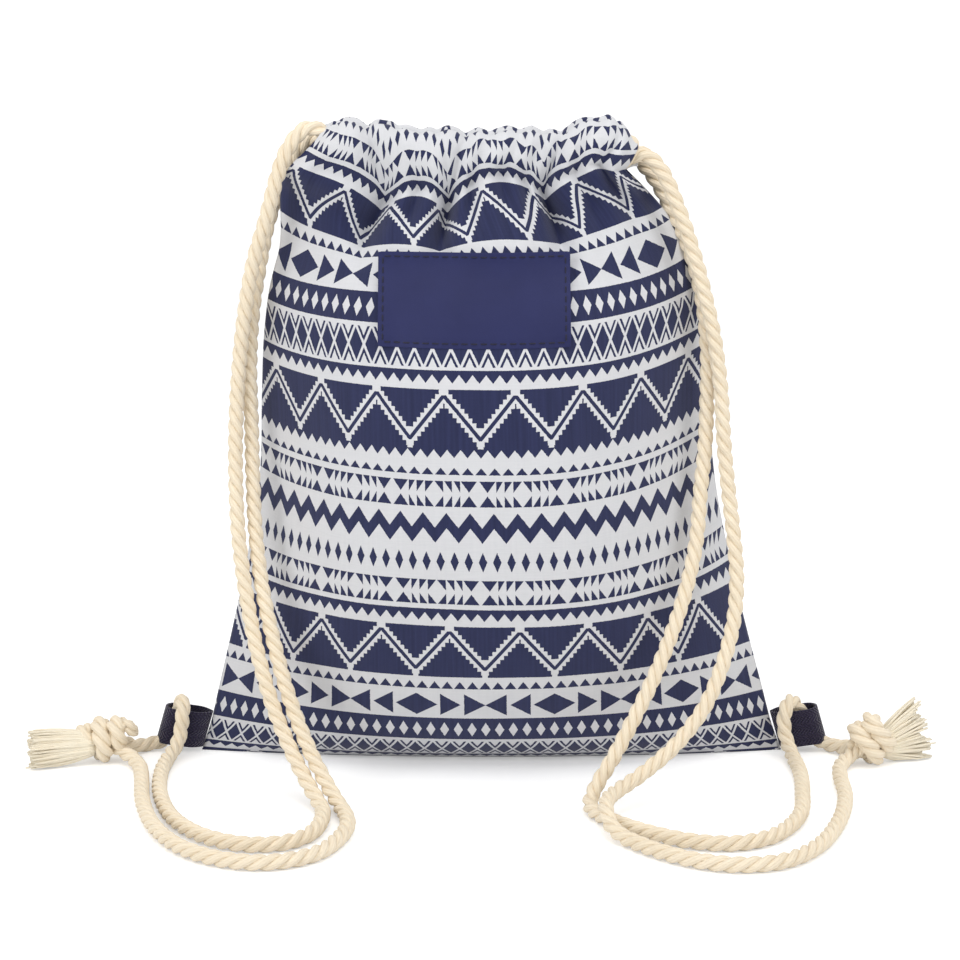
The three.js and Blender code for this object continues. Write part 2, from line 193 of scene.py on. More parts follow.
# Shared mesh helpers
def newPiece(name, bm, material):
    mesh = bpy.data.meshes.new(name)
    bm.to_mesh(mesh)
    bm.free()
    mesh.materials.append(material)
    for face in mesh.polygons:
        face.use_smooth = True
    piece = bpy.data.objects.new(name, mesh)
    scene.collection.objects.link(piece)
    return piece


def takePlace(piece, node):
    # The whole bag is one body
    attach(piece, "root")
    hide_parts(node)


def thickened(piece, thickness, offset, edge, segments, sharp):
    # A wall for a flat piece, with its edges rounded
    slab = piece.modifiers.new("slab", "SOLIDIFY")
    slab.thickness = thickness * mm
    slab.offset = offset
    rounding = piece.modifiers.new("rounding", "BEVEL")
    rounding.width = edge * mm
    rounding.segments = segments
    rounding.limit_method = "ANGLE"
    rounding.angle_limit = math.radians(sharp)


def curvePoints(points, step):
    # Centripetal Catmull-Rom line through the points, in even steps
    spots = [points[0] * 2 - points[1], *points, points[-1] * 2 - points[-2]]
    fine = []
    for k in range(1, len(spots) - 2):
        p0, p1, p2, p3 = spots[k - 1:k + 3]
        t0 = 0
        t1 = t0 + (p1 - p0).length ** 0.5
        t2 = t1 + (p2 - p1).length ** 0.5
        t3 = t2 + (p3 - p2).length ** 0.5
        for i in range(12):
            t = mixed(t1, t2, i / 12)
            a1 = p0.lerp(p1, (t - t0) / (t1 - t0))
            a2 = p1.lerp(p2, (t - t1) / (t2 - t1))
            a3 = p2.lerp(p3, (t - t2) / (t3 - t2))
            b1 = a1.lerp(a2, (t - t0) / (t2 - t0))
            b2 = a2.lerp(a3, (t - t1) / (t3 - t1))
            fine.append(b1.lerp(b2, (t - t1) / (t2 - t1)))
    fine.append(spots[-2])
    return evenSteps(fine, step)


def runsAlong(line):
    # Distance from the start of a line to each of its points
    runs = [0]
    for a, b in zip(line, line[1:]):
        runs.append(runs[-1] + (b - a).length)
    return runs


def lineLength(line):
    return runsAlong(line)[-1]


def evenSteps(fine, step):
    runs = runsAlong(fine)
    count = max(2, round(runs[-1] / step))
    line = []
    k = 0
    for i in range(count + 1):
        run = runs[-1] * i / count
        while k < len(runs) - 2 and runs[k + 1] < run:
            k += 1
        line.append(fine[k].lerp(fine[k + 1], (run - runs[k]) / max(runs[k + 1] - runs[k], 1e-9)))
    return line


def carriedFrames(line):
    # Two directions square to the line at each point, carried along without twist
    frames = []
    side = None
    for i, spot in enumerate(line):
        ahead = (line[min(i + 1, len(line) - 1)] - line[max(i - 1, 0)]).normalized()
        if side is None:
            side = ahead.orthogonal()
        side = (side - ahead * side.dot(ahead)).normalized()
        frames.append((side, ahead.cross(side)))
    return frames


def numberedGrid(bm, columns, rows):
    # A flat grid, with the column and the row of each vertex
    made = bmesh.ops.create_grid(bm, x_segments=columns, y_segments=rows, size=0.5)["verts"]
    return {vert: (round((vert.co.x + 0.5) * columns), round((vert.co.y + 0.5) * rows)) for vert in made}


def addTube(bm, line, radius, sides, place):
    # A closed tube round the line, with its length and its turn as flat place
    frames = carriedFrames(line)
    runs = runsAlong(line)
    rings = len(line) - 1
    spots = numberedGrid(bm, rings, sides)
    faces = {face for vert in spots for face in vert.link_faces}
    for face in faces:
        for loop in face.loops:
            i, k = spots[loop.vert]
            loop[place].uv = (runs[i] / 2, k / sides)
    for vert, (i, k) in spots.items():
        side, other = frames[i]
        turn = fullTurn * k / sides
        size = radius(i / rings) if callable(radius) else radius
        vert.co = line[i] + (side * math.cos(turn) + other * math.sin(turn)) * size
    seam = [vert for vert, (i, k) in spots.items() if k in (0, sides)]
    bmesh.ops.remove_doubles(bm, verts=seam, dist=1e-7)
    rims = [edge for face in faces if face.is_valid for edge in face.edges if edge.is_boundary]
    bmesh.ops.holes_fill(bm, edges=list(set(rims)), sides=0)


# Twisted cotton rope
rope = {
    "diameter": 9.0, "strands": 3, "strandRadius": 2.42, "strandOffset": 2.55, "lay": 27.5,
    "step": 2.3, "sides": 10, "floor": 4.6, "clearance": 0.03, "insideSteps": 4,
    "yarnsAround": 9, "yarnsAlong": 145,
}


def ropeFinish(name, light, dark):
    finish = Finish(name)
    along, around, _ = finish.parts(finish.flatPlace("flat"))
    yarns = ((around * rope["yarnsAround"] + along * rope["yarnsAlong"]) * fullTurn).sine()
    fibre = finish.noise(900, 3, finish.combined(along * 0.5, around * 0.02), 0.6)
    patches = finish.noise(38, 2, finish.objectPlace())
    share = yarns * 0.09 + fibre * 0.5 + patches * 0.45 + 0.05
    height = yarns * 0.5 + fibre * 0.9
    return finish.finished(
        Base_Color=finish.tinted(share, dark, light), Roughness=0.93, Specular_IOR_Level=0.15,
        Sheen_Weight=0.25, Sheen_Roughness=0.5, Normal=finish.bump(height, 0.5, 0.0004),
    )


cottonRope = ropeFinish("cottonRope", tone(252, 241, 220), tone(226, 207, 176))


def twistedStrands(bm, line, place, startTurn=0.0, thick=1.0):
    # Three strands laid round each other, left-handed, as marks run down to the right
    frames = carriedFrames(line)
    step = lineLength(line) / (len(line) - 1)
    offset = rope["strandOffset"] * thick * mm
    for strand in range(rope["strands"]):
        path = []
        for i, spot in enumerate(line):
            turn = startTurn + fullTurn * (strand / rope["strands"] - i * step / (rope["lay"] * mm))
            side, other = frames[i]
            path.append(spot + (side * math.cos(turn) + other * math.sin(turn)) * offset)
        addTube(bm, path, rope["strandRadius"] * thick * mm, rope["sides"], place)


def ropePiece(name, points, node):
    line = curvePoints([Vector(p) * mm for p in points], rope["step"] * mm)
    lift = (rope["strandRadius"] + rope["strandOffset"] + rope["clearance"]) * mm
    line = [Vector((spot.x, spot.y, max(spot.z, lift))) for spot in line]
    bm = bmesh.new()
    place = bm.loops.layers.uv.new("flat")
    twistedStrands(bm, line, place)
    piece = newPiece(name, bm, cottonRope)
    takePlace(piece, node)
    return piece, line


floorRope = rope["floor"]
# Free ropes, from the channel down to the floor, round the tab and to the knot
routes = {
    "left_front_rope": [
        (-94, -17.1, 394), (-99, -17.1, 398), (-104, -17.5, 402), (-109, -18.3, 404.6),
        (-114, -19, 404.5), (-119.5, -20, 400.5), (-127, -21, 389.5), (-132.5, -22, 374.5),
        (-140, -21, 348), (-148, -20, 322), (-154, -20, 290), (-158, -22, 256), (-160, -28, 222),
        (-160, -36, 188), (-158, -46, 154), (-153, -58, 120), (-146, -70, 88), (-136, -83, 57),
        (-123, -98, 30), (-111, -113, 12), (-103, -130, floorRope), (-102, -152, floorRope),
        (-107, -174, floorRope), (-120, -189, floorRope), (-141, -193, floorRope),
        (-165, -182, floorRope), (-187, -155, floorRope), (-202, -112, floorRope),
        (-208, -66, floorRope), (-207, -34, 5.5), (-203, -19, 10), (-201, -14.5, 17), (-200, -13.5, 25),
        (-199.5, -11, 31.5), (-200.5, -6, 34.5), (-202, -1, 32), (-204, 0, 26), (-207, 0, 18),
        (-210, 0, 11), (-216, -1, 6), (-224, -4, floorRope), (-231, -10, 6), (-240, -18, 11),
    ],
    "left_back_rope": [
        (-94, 17.1, 393.7), (-101, 17.1, 395.5), (-108, 17.5, 396.5), (-114, 18, 395.5),
        (-121, 18, 390), (-127.5, 17, 380), (-133, 14, 366), (-140, 8, 346), (-145, 0, 322),
        (-150, -7, 290), (-152, -13, 256), (-151, -20, 222), (-150, -29, 190), (-148, -40, 156),
        (-143, -54, 122), (-135, -68, 90), (-125, -82, 59), (-112, -98, 31), (-99, -115, 12),
        (-90, -134, floorRope), (-86, -158, floorRope), (-90, -183, floorRope), (-103, -209, floorRope),
        (-127, -222, floorRope), (-153, -218, floorRope), (-178, -200, floorRope),
        (-199, -165, floorRope), (-213, -116, floorRope), (-219, -74, floorRope),
        (-224, -48, floorRope), (-232, -33, 6.5), (-243, -26, 11),
    ],
    "right_front_rope": [
        (78, -17.1, 382.6), (83, -17.1, 385), (88, -17.2, 388), (93, -17.6, 388.8),
        (98.5, -18.5, 385.5), (106, -20, 376), (112.5, -22, 361.5), (119.5, -24.5, 343),
        (126, -27, 323), (132, -29.5, 301), (138, -32, 274), (142, -35, 244), (144, -39, 213),
        (147, -44, 183), (150, -50, 157), (152, -57, 130), (150, -64, 105), (143, -75, 81),
        (131, -87, 56), (112, -100, 35), (91, -113, 21), (76, -127, 15.5), (69, -142, 15),
        (67, -157, 13.8), (70, -171, 8), (81, -187, floorRope), (97, -205, floorRope),
        (118, -220, floorRope), (141, -226, floorRope), (165, -220, floorRope), (187, -197, floorRope),
        (206, -153, floorRope), (216, -108, floorRope), (218, -72, floorRope), (221, -50, floorRope),
        (228, -36, 6.5), (238, -29, 11),
    ],
    "right_back_rope": [
        (78, 17.1, 382.5), (85, 17.1, 383.5), (92, 15.5, 382), (99, 11, 375), (106, 6.5, 364.5),
        (113, 2.5, 350.5), (122, -3, 332), (130, -10, 305), (134, -22, 270), (134, -28, 240),
        (133, -33, 210), (130, -39, 180), (127, -48, 150), (120, -60, 122), (110, -73, 96),
        (98, -86, 71), (85, -98, 48), (73, -107, 28), (63, -114, 13), (59, -124, 6),
        (62, -137, floorRope), (71, -152, floorRope), (90, -171, floorRope), (115, -187, floorRope),
        (140, -191, floorRope), (163, -179, floorRope), (183, -145, floorRope), (191, -98, floorRope),
        (194, -60, floorRope), (193, -32, 5.5), (191, -19, 10), (189.5, -14.5, 17), (189, -13.5, 25),
        (190.5, -11, 31.5), (193.5, -6, 34.5), (197, -1, 32), (201, 0, 26), (205, 0, 18), (209, 0, 11),
        (215, -2, 6), (221, -6, floorRope), (227, -12, 5.5), (234, -21, 9),
    ],
}
cords = {}
for node, points in routes.items():
    cords[node] = ropePiece(node + "_twisted", points, node)
    print(node, "length", round(lineLength(cords[node][1]), 3))

# Ropes inside the channels, each with its start, its turning point and its height
held = {
    "depth": 17.1, "turnReach": 0.38, "runSteps": 4, "turnSteps": 8,
    "left": (-95, 80, 393.7), "right": (81, -90, 382.3),
}


def heldRopePoints(start, turn, height):
    depth = held["depth"]
    away = 1 if turn > start else -1
    run = [mixed(start, turn, k / held["runSteps"]) for k in range(held["runSteps"])]
    points = [(x, -depth, height) for x in run]
    for k in range(held["turnSteps"] + 1):
        angle = math.pi * k / held["turnSteps"]
        reach = away * depth * held["turnReach"] * math.sin(angle)
        points.append((turn + reach, -depth * math.cos(angle), height))
    return points + [(x, depth, height) for x in reversed(run)]


for side in ("left", "right"):
    ropePiece(side + "_held_rope", heldRopePoints(*held[side]), side + "_rope_in_channels")
print("held ropes done")

# Knots: a few wound turns, and a lump where the rope comes in
knots = {
    "left": {
        "centre": (-249.5, -25.5, 14.5), "axis": (-1, -0.3, -0.42), "turns": 2.2, "start": 1.4,
        "radius": 9.2, "flat": 0.9, "lumpCentre": (-233.5, -25, 21.5), "lumpAxis": (0.75, 0.2, 0.7),
    },
    "right": {
        "centre": (241.5, -33, 14.4), "axis": (0.8, 0.2, 1), "turns": 2.0, "start": 2.2,
        "radius": 11.6, "flat": 0.6, "lumpCentre": (233, -31, 7.5), "lumpAxis": (0.9, 0.1, -0.45),
    },
    "pitch": 11.6, "startTurn": 0.7, "thick": 1.2, "core": (8.5, 7.5, 7.5), "endRadius": 3.5, "step": 1.9,
    "lump": {"turns": 1.1, "start": 0.5, "radius": 4.2, "pitch": 3.0, "startTurn": 0.2, "thick": 0.85},
}


def squareTo(axis):
    across = axis.cross(Vector((0, 0, 1))).normalized()
    return across, across.cross(axis)


def helixLine(centre, axis, turns, start, radius, pitch, flat=1.0):
    # Wound about the axis, and drawn in at both ends
    across, up = squareTo(axis)
    count = 120
    path = []
    for i in range(count + 1):
        share = i / count
        turn = start + fullTurn * turns * share
        ends = smooth(0, 0.1, share) * smooth(0, 0.1, 1 - share)
        reach = mixed(knots["endRadius"], radius * (1 + 0.06 * math.sin(turn * 0.7)), ends) * mm
        along = pitch * mm * turns * (share - 0.5) * 0.9
        path.append(centre + axis * along + (across * flat * math.cos(turn) + up * math.sin(turn)) * reach)
    return evenSteps(path, knots["step"] * mm)


def knotPiece(side):
    shape = knots[side]
    lump = knots["lump"]
    axis = Vector(shape["axis"]).normalized()
    lumpAxis = Vector(shape["lumpAxis"]).normalized()
    across, up = squareTo(axis)
    centre = Vector(shape["centre"]) * mm
    lumpCentre = Vector(shape["lumpCentre"]) * mm
    bm = bmesh.new()
    place = bm.loops.layers.uv.new("flat")
    line = helixLine(
        centre, axis, shape["turns"], shape["start"], shape["radius"], knots["pitch"], shape["flat"])
    twistedStrands(bm, line, place, knots["startTurn"], knots["thick"])
    line = helixLine(lumpCentre, lumpAxis, lump["turns"], lump["start"], lump["radius"], lump["pitch"])
    twistedStrands(bm, line, place, lump["startTurn"], lump["thick"])
    core = bmesh.ops.create_uvsphere(bm, u_segments=24, v_segments=14, radius=1.0)["verts"]
    frameOf = Matrix((axis, across, up)).transposed().to_4x4()
    sizes = Matrix.Diagonal((*(c * mm for c in knots["core"]), 1.0))
    bmesh.ops.transform(bm, matrix=Matrix.Translation(centre) @ frameOf @ sizes, verts=core)
    lowest = min(vert.co.z for vert in bm.verts)
    bmesh.ops.translate(bm, vec=(0, 0, 0.0001 - lowest), verts=bm.verts)
    piece = newPiece(side + "_wrapped_knot", bm, cottonRope)
    takePlace(piece, side + "_knot")
    return piece


# Frayed ends: loose yarns that fan out of the knot
tassels = {
    "left": {
        "root": (-256, -29, 13), "aim": (-0.93, -0.33, 0.0), "length": 41, "halfWidth": 13.6,
        "open": 0.0, "steps": 1.5, "seed": 3,
    },
    "right": {
        "root": (249, -27, 11.5), "aim": (0.9, 0.25, 0.2), "length": 33.5, "halfWidth": 9.5,
        "open": 0.52, "steps": 4.5, "seed": 8,
    },
    "rootWidth": 7.0, "halfThickness": 6.5, "uneven": 5, "strays": 0.05, "wave": 0.7,
    "yarns": 240, "yarnRadius": 1.15, "taper": 0.45, "sides": 6, "bends": 7,
}
# Paler than the rope's cotton: painted light that makes up for the shade between the tassel's loose yarns
tasselPaintedPaler = ropeFinish("frayedCottonPaintedPaler", tone(255, 250, 232), tone(252, 236, 208))


def yarnRadius(share):
    return tassels["yarnRadius"] * mm * (1 - tassels["taper"] * share)


def tasselPiece(side):
    shape = tassels[side]
    chance = random.Random(shape["seed"])
    aim = Vector(shape["aim"]).normalized()
    across = Vector((0, 0, 1)).cross(aim).normalized()
    up = aim.cross(across)
    root = Vector(shape["root"]) * mm
    rootWidth = tassels["rootWidth"]
    bm = bmesh.new()
    place = bm.loops.layers.uv.new("flat")
    for yarn in range(tassels["yarns"]):
        turn = chance.uniform(0, fullTurn)
        far = chance.uniform(0, 1) ** 0.5
        rise, out = far * math.sin(turn), far * math.cos(turn)
        bunch = math.floor((rise + 1) * 3.5)
        length = shape["length"] - shape["steps"] * (bunch % 2)
        length -= chance.uniform(0, 1) ** 2 * tassels["uneven"]
        if chance.random() < tassels["strays"]:
            length += chance.uniform(1, 4)
        wave = Vector([chance.uniform(-1, 1) for _ in range(3)]) * tassels["wave"] * mm
        heading = (aim + up * rise * shape["open"]).normalized()
        points = []
        for i in range(tassels["bends"] + 1):
            share = i / tassels["bends"]
            spread = math.sin(math.pi / 2 * share ** 0.85)
            tall = mixed(rootWidth, shape["halfWidth"], spread) * mm
            wide = mixed(rootWidth * 0.9, tassels["halfThickness"], spread) * mm
            spot = root + heading * share * length * mm + across * wide * out + up * tall * rise
            spot += wave * math.sin(share * 3.1 + yarn)
            spot.z = max(spot.z, (tassels["yarnRadius"] + 0.1 + 0.6 * far) * mm)
            points.append(spot)
        addTube(bm, points, yarnRadius, tassels["sides"], place)
    piece = newPiece(side + "_frayed_tassel", bm, tasselPaintedPaler)
    takePlace(piece, side + "_tassel")
    return piece


for side in ("left", "right"):
    knot = knotPiece(side)
    fray = tasselPiece(side)
    for which in ("front", "back"):
        piece, line = cords[side + "_" + which + "_rope"]
        lineLength(line)
print("cords, knots and tassels done")

# Cloth panels
cloth = {
    "wallHeight": 370, "bellyDepth": 92, "lensPower": 2.3, "sideLean": -6, "flatWidth": 378,
    "hem": 84, "thickness": 0.9, "seat": 0.4, "lift": 20,
    "channelMiddle": 388, "ropeLine": 17.1, "mouthHalfWidth": 98,
    "creaseDepth": 7.0, "puffDepth": 17.0, "creaseHalfHeight": 11.5, "puffHalfHeight": 17.2,
    "climbLeft": 7, "climbRight": 17, "uvSpan": 0.6,
    "cellsAcross": 168, "cellsUp": 118, "cellsRound": 30,
}
wall = cloth["wallHeight"]
belly = cloth["bellyDepth"]
# height, half width and half depth of the panel, from the bottom seam up
clothRows = [
    (0, 189, 0), (0, 189, 15), (0.024 * wall, 186, 0.37 * belly), (0.056 * wall, 182, 0.55 * belly),
    (0.12 * wall, 176, 0.7 * belly), (0.22 * wall, 166.5, 0.86 * belly), (0.35 * wall, 155, 0.98 * belly),
    (0.5 * wall, 145, belly), (0.64 * wall, 142, 0.94 * belly), (0.75 * wall, 139, 0.83 * belly),
    (0.85 * wall, 132, 0.66 * belly), (0.93 * wall, 117, 0.45 * belly), (wall, 95, 21),
]
# each crease: place at the channel, inward push, width, how far it runs down, dip of the seam, pinch
creases = [
    (-0.60, 11, 0.05, 70, 27, 1.0), (-0.22, 12, 0.05, 82, 27, 1.0), (0.39, 12, 0.05, 92, 22, 1.0),
    (-0.86, 2, 0.05, 40, 2, 0.25), (-0.41, 4, 0.04, 46, 3, 0.5), (-0.07, 5, 0.035, 56, 3, 0.6),
    (0.13, 3, 0.04, 40, 2, 0.45), (0.27, 4, 0.035, 44, 2, 0.55), (0.60, 4, 0.035, 56, 3, 0.45),
    (0.79, 4, 0.04, 50, 2, 0.65),
]
rowRuns = [0]
for low, high in zip(clothRows, clothRows[1:]):
    rowRuns.append(rowRuns[-1] + math.hypot(high[0] - low[0], high[2] - low[2]))
wallRun = rowRuns[-1]


def wallRow(run):
    # Height, half width and half depth at a distance along the cloth from the bottom seam
    k = 0
    while k < len(rowRuns) - 2 and rowRuns[k + 1] < run:
        k += 1
    gap = rowRuns[k + 1] - rowRuns[k]
    t = (run - rowRuns[k]) / gap
    values = []
    for part in range(3):
        a, b = clothRows[k][part], clothRows[k + 1][part]
        before = clothRows[max(k - 1, 0)][part]
        after = clothRows[min(k + 2, len(clothRows) - 1)][part]
        slopeA = (b - before) / (rowRuns[k + 1] - rowRuns[max(k - 1, 0)]) * gap
        slopeB = (after - a) / (rowRuns[min(k + 2, len(rowRuns) - 1)] - rowRuns[k]) * gap
        if k == 0:
            slopeA = slopeB = b - a
        t2, t3 = t * t, t * t * t
        low = (2 * t3 - 3 * t2 + 1) * a + (t3 - 2 * t2 + t) * slopeA
        values.append(low + (3 * t2 - 2 * t3) * b + (t3 - t2) * slopeB)
    return max(values[0], 0), values[1], max(values[2], 0)


def foldsAt(u, height):
    # How far creases push the cloth in, and how far they pull it down
    push = 0
    sink = 0
    for place, depth, width, reach, dip, pinch in creases:
        strength = smooth(wall - reach, wall - 6, height)
        spread = width * mixed(2.4, 1.0, strength)
        push += depth * strength ** 1.3 / (1 + ((u - place) / spread) ** 2)
        sink += dip * math.exp(-abs(u - place) / 0.17)
    return push * (1 - 0.45 * smooth(wall - 16, wall, height)), sink * smooth(wall - 60, wall, height)


def puffAt(u):
    # Fullness between creases at the channel, from 0 at a crease to 1
    low = 1.0
    for place, *_, pinch in creases:
        low = min(low, 1 - pinch * math.exp(-abs((u - place) / 0.06) ** 1.3))
    return low


def shoulderAt(u, height):
    # The left shoulder is pulled out by its rope, and the right one drawn in
    out = -19 * smooth(0.45, 1.0, -u) * smooth(wall - 48, wall - 4, height)
    return out - 7 * smooth(0.6, 1.0, u) * smooth(wall - 40, wall - 2, height)


def wallPoint(u, row, folded=1.0):
    height, halfWidth, halfDepth = row
    x = halfWidth * u + shoulderAt(u, height)
    lens = max(1 - abs(u) ** cloth["lensPower"], 0)
    free = smooth(wall - 22, wall, height)
    full = halfDepth * mixed(lens, 1, free)
    edge = mixed(1 - abs(u) ** 14, 1, free)
    push, sink = foldsAt(u, height) if folded else (0, 0)
    swell = 10 * smooth(wall - 60, wall - 4, height) * puffAt(u) * edge * folded
    waves = noise.noise(Vector((u * 2.1 + 4, height / 130, 1.7))) * 3.2 * smooth(10, 60, height)
    ripple = noise.noise(Vector((u * 5.5, height / 60, 8.2))) * 1.1 * smooth(10, 60, height)
    depth = cloth["seat"] + full + (swell - push + waves + ripple) * edge * smooth(0.0, 0.1, 1 - abs(u))
    if free > 0:
        depth = max(depth, mixed(cloth["seat"], 8.0, free))
    lifted = cloth["lift"] * smooth(wall - 60, wall, height) * mixed(1, 0.55, smooth(0.7, 1, u)) * folded
    return Vector((x, -max(depth, cloth["seat"]), max(height - sink * edge + lifted, 0)))


def tunnelAt(u, angle):
    # A point on the tunnel that holds the ropes: slack puffs between tight creases, round at the ends
    up = math.sin(angle)
    fan = mixed(-0.13, 0.12, smooth(-0.5, -0.3, u)) * (up + 1) / 2
    full = puffAt(u - fan * smooth(1.0, 0.8, abs(u)))
    end = smooth(0.82, 1.0, abs(u)) ** 2
    depth = mixed(cloth["creaseDepth"], cloth["puffDepth"], full) if math.cos(angle) > 0 else 8.5
    depth *= 1 - 0.6 * end
    tall = mixed(cloth["creaseHalfHeight"], cloth["puffHalfHeight"], full) * (1 - 0.6 * end)
    wrinkle = 0.9 - 2.6 * abs(noise.noise(Vector(((u - fan) * 8, angle * 0.7, 5.5))))
    wrinkle += 0.45 * noise.noise(Vector(((u - fan) * 20, angle * 1.4, 1.5)))
    middle = cloth["channelMiddle"] + 5 * smooth(0.5, 0.7, u) + 4 * smooth(0.45, 0.7, -u)
    middle -= 1.5 * smooth(0.55, 0.4, abs(u))
    middle += mixed(0, 5 if u < 0 else -5, end)
    return Vector((
        cloth["mouthHalfWidth"] * u * (1 - 0.02 * smooth(0.8, 1.0, u)),
        -(cloth["ropeLine"] + (depth + wrinkle * 0.8) * math.cos(angle)),
        middle + (tall + wrinkle) * up,
    ))


def channelPoint(u, share, foot):
    # Round the tunnel, from its foot in front, over the ropes and back to its foot inside
    spot = tunnelAt(u, math.radians(-45 + 300 * share))
    start = tunnelAt(u, math.radians(-45))
    return spot + (foot - start) * max(1 - share / 0.34, 0) ** 1.5


def evenColumns(pointAt, cells, samples=420):
    # Places across the row at even distances along the cloth
    places = [-1 + 2 * k / samples for k in range(samples + 1)]
    runs = runsAlong([pointAt(u) for u in places])
    columns = []
    k = 0
    for i in range(cells + 1):
        run = runs[-1] * i / cells
        while k < samples - 1 and runs[k + 1] < run:
            k += 1
        share = (run - runs[k]) / max(runs[k + 1] - runs[k], 1e-9)
        columns.append(mixed(places[k], places[k + 1], share))
    return columns, runs[-1]


def leaned(spot):
    return Vector((spot.x + cloth["sideLean"] * spot.z / wall, spot.y, spot.z)) * mm


across, upward, roundward = cloth["cellsAcross"], cloth["cellsUp"], cloth["cellsRound"]


def patternRise(u, height):
    # The weave climbs towards the side seams, most on the right
    climb = cloth["climbRight"] * max(u, 0) ** 3.3 + cloth["climbLeft"] * max(-u, 0) ** 7
    return climb * smooth(40, 190, height) * mixed(1, 0.4, smooth(wall - 40, wall, height))


def panelRows():
    # For each row, distances from the bottom seam, the width of the cloth and the points
    rows = []
    top = wallRow(wallRun)
    evenFeet, _ = evenColumns(lambda u: wallPoint(u, top), across)
    for j in range(upward + 1):
        run = wallRun * j / upward
        row = wallRow(run)
        plain, width = evenColumns(lambda u: wallPoint(u, row, 0), across)
        if row[0] < wall - 75:
            fullWidth = width
        share = smooth(wall - 70, wall + 2, row[0]) * 0.45
        columns = [mixed(a, b, share) for a, b in zip(plain, evenFeet)]
        runs = [run - patternRise(u, row[0]) for u in columns]
        rows.append((runs, fullWidth, [wallPoint(u, row) for u in columns]))
    feet = spots = rows[-1][2]
    for r in range(1, roundward + 1):
        before = spots
        spots = [channelPoint(u, r / roundward, foot) for u, foot in zip(columns, feet)]
        runs = [run + (a - b).length for run, a, b in zip(runs, spots, before)]
        rows.append((runs, fullWidth, spots))
    return rows


rows = panelRows()
levels = len(rows) - 1
print("cloth rows done")


def panelMesh():
    bm = bmesh.new()
    flat = bm.loops.layers.uv.new("flat")
    spots = numberedGrid(bm, across, levels)
    for face in bm.faces:
        for loop in face.loops:
            i, j = spots[loop.vert]
            runs, width, _ = rows[j]
            sideways = width * (i / across - 0.5)
            loop[flat].uv = (0.5 + sideways * mm / cloth["uvSpan"], runs[i] * mm / cloth["uvSpan"])
    for vert, (i, j) in spots.items():
        vert.co = rows[j][2][i]
    return bm, spots


# How the cloth settles under its filling
settling = {
    "quality": 6, "mass": 0.004, "stretch": 22, "shear": 6, "bending": 0.12, "air": 1.5, "pressure": 5,
    "moments": 18, "furthest": 7, "fixedFoot": 14,
}


def relaxed(bm, spots):
    # Cloth simulation: the flat cut is the cloth's own size, and the filling presses outwards
    mesh = bpy.data.meshes.new("cutCloth")
    bm.verts.index_update()
    for vert in bm.verts:
        vert.co *= mm
    bm.to_mesh(mesh)
    shape = bpy.data.objects.new("cutCloth", mesh)
    scene.collection.objects.link(shape)
    shape.shape_key_add(name="Basis")
    cut = shape.shape_key_add(name="cut")
    pinned = shape.vertex_groups.new(name="pinned")
    for vert, (i, j) in spots.items():
        run = wallRun * j / upward
        cut.data[vert.index].co = Vector((cloth["flatWidth"] * (i / across - 0.5), 0, run)) * mm
        if i in (0, across) or j >= upward - 1 or run < settling["fixedFoot"]:
            pinned.add([vert.index], 1.0, "REPLACE")
    modifier = shape.modifiers.new("cloth", "CLOTH")
    setup = modifier.settings
    setup.quality = settling["quality"]
    setup.mass = settling["mass"]
    setup.tension_stiffness = setup.compression_stiffness = settling["stretch"]
    setup.shear_stiffness = settling["shear"]
    setup.bending_stiffness = settling["bending"]
    setup.air_damping = settling["air"]
    setup.vertex_group_mass = "pinned"
    setup.rest_shape_key = cut
    setup.use_pressure = True
    setup.uniform_pressure_force = settling["pressure"]
    setup.effector_weights.gravity = 0
    modifier.collision_settings.use_collision = False
    modifier.collision_settings.use_self_collision = False
    modifier.point_cache.frame_end = 40
    scene.frame_start = 1
    scene.frame_end = 40
    for moment in range(settling["moments"]):
        scene.frame_set(1 + moment)
    result = bpy.data.meshes.new_from_object(shape.evaluated_get(bpy.context.evaluated_depsgraph_get()))
    moved = [vert.co / mm for vert in result.vertices]
    bpy.data.objects.remove(shape)
    for vert in bm.verts:
        away = moved[vert.index] - vert.co / mm
        if away.length > settling["furthest"]:
            away *= settling["furthest"] / away.length
        vert.co = vert.co / mm + away
        vert.co.z = max(vert.co.z, 0)
    scene.frame_set(1)


bm, spots = panelMesh()
relaxed(bm, spots)
print("cloth simulated")
panelShape = bpy.data.meshes.new("panelShape")
bm.to_mesh(panelShape)
bm.free()


# Bands of the weave in millimetres, measured down from the top of a run of bands
weave = {
    "repeat": 86.6, "firstTop": 436.3, "longRun": 275.4, "shortRun": 127.6, "shift": 3.3,
    "toothPitch": 8.1837, "line": 7.9,
    "zigzag": {
        "top": 11.6, "height": 36.2, "foot": 30.2, "rise": 26.6, "step": 2.35,
        "thread": 1.8, "border": 5.7, "stub": 1.7, "stubTop": 3.4, "stubFoot": 31,
    },
    "arrows": {"middle": 69.6, "halfHeight": 8.7, "diamond": 13.3, "spans": ((15.0, 27.8), (30.0, 43.4))},
    "lozenges": {"middle": 90.8, "top": -9.9, "foot": 9.5},
    "lattice": {"middle": 114.3, "halfHeight": 11.4, "pitch": 11.25, "reach": 12.2, "line": (1.9, 5.4)},
    "facing": {
        "middles": (74.9, 136.6), "pitch": 53.6, "gap": 1.0, "halfHeight": 7.9,
        "centre": (5.6, 4.9), "spans": ((10.9, 14.9), (15.9, 20.6), (21.2, 26.5)),
    },
    "thick": {"middle": 95.9, "rise": 9.3, "half": 4.7},
    "weft": 0.85, "warp": 0.62,
}


